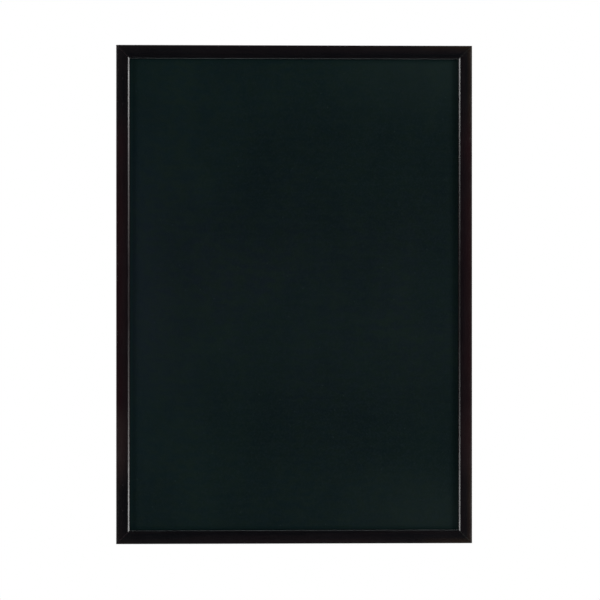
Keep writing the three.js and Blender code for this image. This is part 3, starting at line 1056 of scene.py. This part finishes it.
def ring_line():
    """Points round the ring, in its own plane: its bar runs through the origin."""
    corner = RING_ARCH - RING_CORNER
    arch = RING_ARCH - RING_REACH
    leg = arch + RING_CORNER
    line = [(corner * (2 * i / RING_BAR_STEPS - 1), 0.0) for i in range(RING_BAR_STEPS)]
    line += arc((corner, -RING_CORNER), RING_CORNER, math.pi / 2, 0, RING_CORNER_STEPS)[:-1]
    line += [(RING_ARCH, -RING_CORNER + leg * i / RING_LEG_STEPS) for i in range(RING_LEG_STEPS)]
    line += arc((0.0, arch), RING_ARCH, 0, -math.pi, RING_ARCH_STEPS)[:-1]
    line += [(-RING_ARCH, arch - leg * i / RING_LEG_STEPS) for i in range(RING_LEG_STEPS)]
    line += arc((-corner, -RING_CORNER), RING_CORNER, math.pi, math.pi / 2, RING_CORNER_STEPS)[:-1]
    return line


def make_ring(side, pivot):
    """A ring of round wire, tilted at rest to lie over its strap and screw."""
    node = f"{side}_ring"
    line = ring_line()
    tilt = Matrix.Rotation(RING_TILT, 3, "X")
    points = []
    for i, (a, b) in enumerate(line):
        along = Vector(line[(i + 1) % len(line)]) - Vector(line[i - 1])
        along.normalize()
        across = Vector((along.y, 0, -along.x))
        for k in range(RING_SIDES):
            turn = 2 * math.pi * k / RING_SIDES
            offset = across * math.cos(turn) + Vector((0, 1, 0)) * math.sin(turn)
            points.append(pivot + tilt @ (Vector((a, 0, b)) + offset * RING_RADIUS))
    mesh = lofted(node, points, RING_SIDES, closed=True)
    place_object(f"{side}_hanger_d_ring", mesh, f"{side}_hanger_ring", [BRIGHT], node)
    smooth_by_angle(mesh, RING_SMOOTH)


def make_screw(side, pivot):
    """A pan-head screw with a crossed recess."""
    node = f"{side}_screw"
    seat = Vector((pivot.x, BACK_Y + 2 * STRAP_SHEET, pivot.z - SCREW_DROP))
    head = SCREW_HEAD / 2
    shank = SCREW_SHANK / 2
    rise = SCREW_HEAD_HEIGHT - SCREW_HEAD_SIDE
    profile = [(0, -SCREW_LENGTH), (shank, -SCREW_LENGTH + SCREW_TIP), (shank, 0),
               (head - SCREW_HEAD_EDGE, 0), (head, SCREW_HEAD_EDGE)]
    for i in range(SCREW_HEAD_STEPS):
        turn = math.pi / 2 * i / SCREW_HEAD_STEPS
        profile.append((head * math.cos(turn), SCREW_HEAD_SIDE + rise * math.sin(turn)))
    profile.append((0, SCREW_HEAD_HEIGHT))
    mesh = turned_profile(node, profile, seat, SCREW_SIDES)
    blades = []
    for wide, tall in ((RECESS_SPAN, RECESS_WIDTH), (RECESS_WIDTH, RECESS_SPAN)):
        box = [(-wide / 2, -tall / 2), (wide / 2, -tall / 2), (wide / 2, tall / 2), (-wide / 2, tall / 2)]
        bottom, top = SCREW_HEAD_HEIGHT - RECESS_DEPTH, SCREW_HEAD_HEIGHT + CUT_CLEAR
        blades.append(prism("blade", box, bottom, top, seen_from_behind(seat)))
    mesh = combined(mesh, blades, "DIFFERENCE")
    make_fastener(f"{side}_hanger_screw", mesh, node, SCREW_BREAK)


make_wedges()
make_points()
make_pads()
for joint in frame["joints"]:
    hanger_side = joint["name"].split("_")[0]
    hinge = Vector(joint["pos_m"])
    make_strap(hanger_side, hinge)
    make_ring(hanger_side, hinge)
    make_screw(hanger_side, hinge)


# Studio

def area_light(name, place, target, size, power):
    """A rectangular lamp, (width, height) in size and hidden from the camera, that faces a target."""
    lamp = bpy.data.lights.new(name, "AREA")
    lamp.shape = "RECTANGLE"
    lamp.size, lamp.size_y = size
    lamp.energy = power
    holder = bpy.data.objects.new(name, lamp)
    holder.location = place
    holder.rotation_euler = (Vector(target) - Vector(place)).to_track_quat("-Z", "Y").to_euler()
    holder.visible_camera = False
    bpy.context.scene.collection.objects.link(holder)
    return holder


def make_lights():
    """Soft lamps at both sides, brighter away from the middle height, as the inner bevels show."""
    for side, strength in SIDE_STRENGTHS:
        for level in (-1, 1):
            for name, height, aim, tall, power in SIDE_LAMPS:
                area_light(
                    f"{name}_{side}_{level}",
                    (side * SIDE_LAMP_OUT, SIDE_LAMP_FRONT, level * height),
                    (side * SIDE_LAMP_AIM, 0, level * aim),
                    (SIDE_LAMP_WIDTH, tall), power * strength,
                )

    # Each lamp above or below catches the inner arris of the rail opposite.
    for level, power in EDGE_LAMP_POWERS:
        place = (EDGE_LAMP_RIGHT, EDGE_LAMP_FRONT, level * EDGE_LAMP_HEIGHT)
        target = (EDGE_LAMP_RIGHT, 0, level * EDGE_LAMP_AIM)
        area_light(f"edge_{level}", place, target, EDGE_LAMP_SIZE, power).data.color = EDGE_LAMP_TINT

    # The fills add light without a reflection of their own.
    fills = [area_light("fill", FILL_PLACE, (0, 0, 0), (FILL_SIDE, FILL_SIDE), FILL_POWER)]
    for level in (-1, 1):
        mirrored = Vector((1, 1, level))
        place = Vector(CORNER_FILL_PLACE) * mirrored
        target = Vector(CORNER_FILL_AIM) * mirrored
        size = (CORNER_FILL_SIDE, CORNER_FILL_SIDE)
        fills.append(area_light(f"corner_{level}", place, target, size, CORNER_FILL_POWER))
    for fill in fills:
        fill.visible_glossy = False


def make_world():
    """White to the camera and through glass, and to reflections of what lies behind the board.

    In front the room is dim, because a white one would turn the near-black lacquer grey.
    """
    world = bpy.data.worlds.new("studio")
    world.use_nodes = True
    nodes = Nodes(world.node_tree)
    nodes.tree.nodes.clear()
    behind = nodes.split(nodes.add("ShaderNodeTexCoord").outputs["Generated"])["Y"]
    strength = nodes.spread(behind, -0.2, 0.4, ROOM_LIGHT, 1.0)
    room = nodes.add("ShaderNodeBackground", {"Color": (1, 1, 1, 1), "Strength": strength})
    white = nodes.add("ShaderNodeBackground", {"Color": (1, 1, 1, 1), "Strength": 1.0})
    seen = nodes.add("ShaderNodeLightPath").outputs
    mirrored = nodes.product(seen["Is Glossy Ray"], nodes.spread(behind, 0.1, 0.4))
    backdrop = nodes.math("MAXIMUM", seen["Is Camera Ray"], seen["Is Transmission Ray"])
    backdrop = nodes.math("MAXIMUM", backdrop, mirrored)
    mixed = nodes.add("ShaderNodeMixShader", {0: backdrop, 1: room.outputs[0], 2: white.outputs[0]})
    nodes.add("ShaderNodeOutputWorld", {"Surface": mixed.outputs[0]})
    bpy.context.scene.world = world


def make_floor():
    """A pale disc under the board, below the front view, that fades out to the white round it."""
    ring = circle((0.0, 0.0), FLOOR_RADIUS, FLOOR_SIDES)
    mesh = new_mesh("floor", [(a, b, FLOOR_HEIGHT) for a, b in ring], [list(range(FLOOR_SIDES))])
    floor = bpy.data.objects.new("floor", mesh)
    bpy.context.scene.collection.objects.link(floor)
    material, nodes, shader, place = new_material("pale_floor")
    away = nodes.add("ShaderNodeVectorMath", {0: place}, operation="LENGTH").outputs["Value"]
    nodes.feed(shader, {
        "Base Color": (FLOOR_GREY, FLOOR_GREY, FLOOR_GREY, 1.0),
        "Roughness": 0.9,
        "Alpha": nodes.spread(away, *FLOOR_FADE, 1.0, 0.0),
    })
    mesh.materials.append(material)
    floor.visible_glossy = False
    floor.visible_shadow = False


def make_camera():
    """The photograph's view: square on, from a little to the left, the board a touch off the middle."""
    camera = bpy.data.cameras.new("camera")
    front = RAIL_LOW.y
    metres_per_pixel = 2 * HALF_WIDTH / BOARD_WIDTH_PX
    camera.sensor_width = SENSOR_MM
    camera.lens = SENSOR_MM * CAMERA_DISTANCE / (IMAGE_SIDE * metres_per_pixel)
    middle = IMAGE_SIDE / 2
    camera.shift_x = (middle - BOARD_MIDDLE_PX[0]) / IMAGE_SIDE
    camera.shift_y = (BOARD_MIDDLE_PX[1] - middle) / IMAGE_SIDE
    holder = bpy.data.objects.new("camera", camera)
    target = Vector((0, front, 0))
    back = Vector((math.sin(CAMERA_TURN), -math.cos(CAMERA_TURN), 0))
    holder.location = target + back * CAMERA_DISTANCE
    holder.rotation_euler = (-back).to_track_quat("-Z", "Y").to_euler()
    bpy.context.scene.collection.objects.link(holder)
    bpy.context.scene.camera = holder


make_lights()
make_world()
make_floor()
make_camera()
bpy.context.scene.view_settings.view_transform = "Standard"
